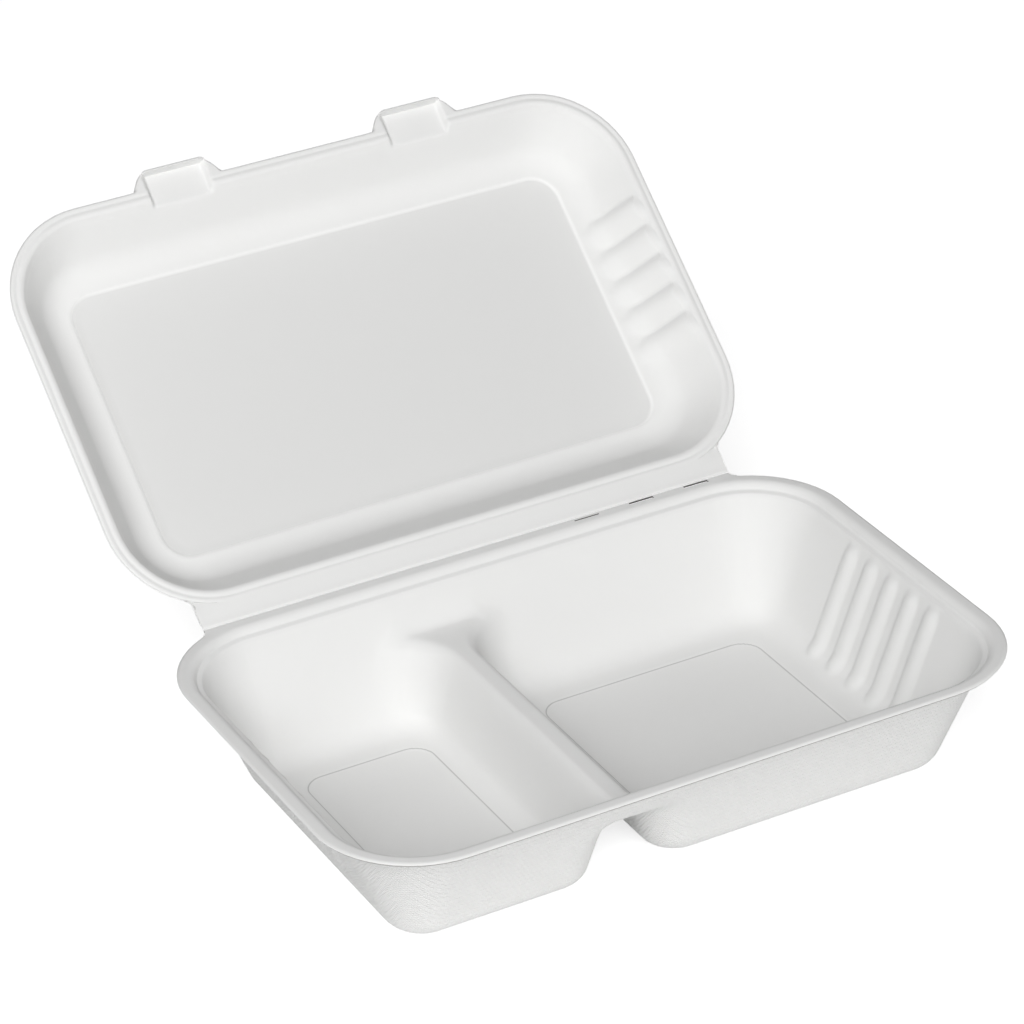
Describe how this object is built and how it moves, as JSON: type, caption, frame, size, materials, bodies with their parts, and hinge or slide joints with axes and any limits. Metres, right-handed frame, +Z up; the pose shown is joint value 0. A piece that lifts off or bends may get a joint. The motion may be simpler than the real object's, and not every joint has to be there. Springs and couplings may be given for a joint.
{
  "type": "two-compartment meal box",
  "caption": "Open rectangular take-away meal box in moulded sugar-cane fibre, with a divided tray and a domed lid creased to its back rim.",
  "frame": {"origin": "middle of the large compartment's foot, on the table", "axes": "+X along the width towards the large compartment's end, +Y back to the lid's crease, +Z up"},
  "size_m": [0.25, 0.294, 0.1538],
  "materials": {
    "fibre": "matte",
    "fibre_lid": "matte"
  },
  "bodies": {
    "tray": {"tray": "fibre"},
    "lid": {"lid": "fibre_lid"}
  },
  "joints": [
    {"name": "lid_crease", "type": "hinge", "parent": "tray", "child": "lid", "pos_m": [-0.04525, 0.0825, 0.04615], "axis": [1, 0, 0], "range_deg": [-40, 140]}
  ]
}
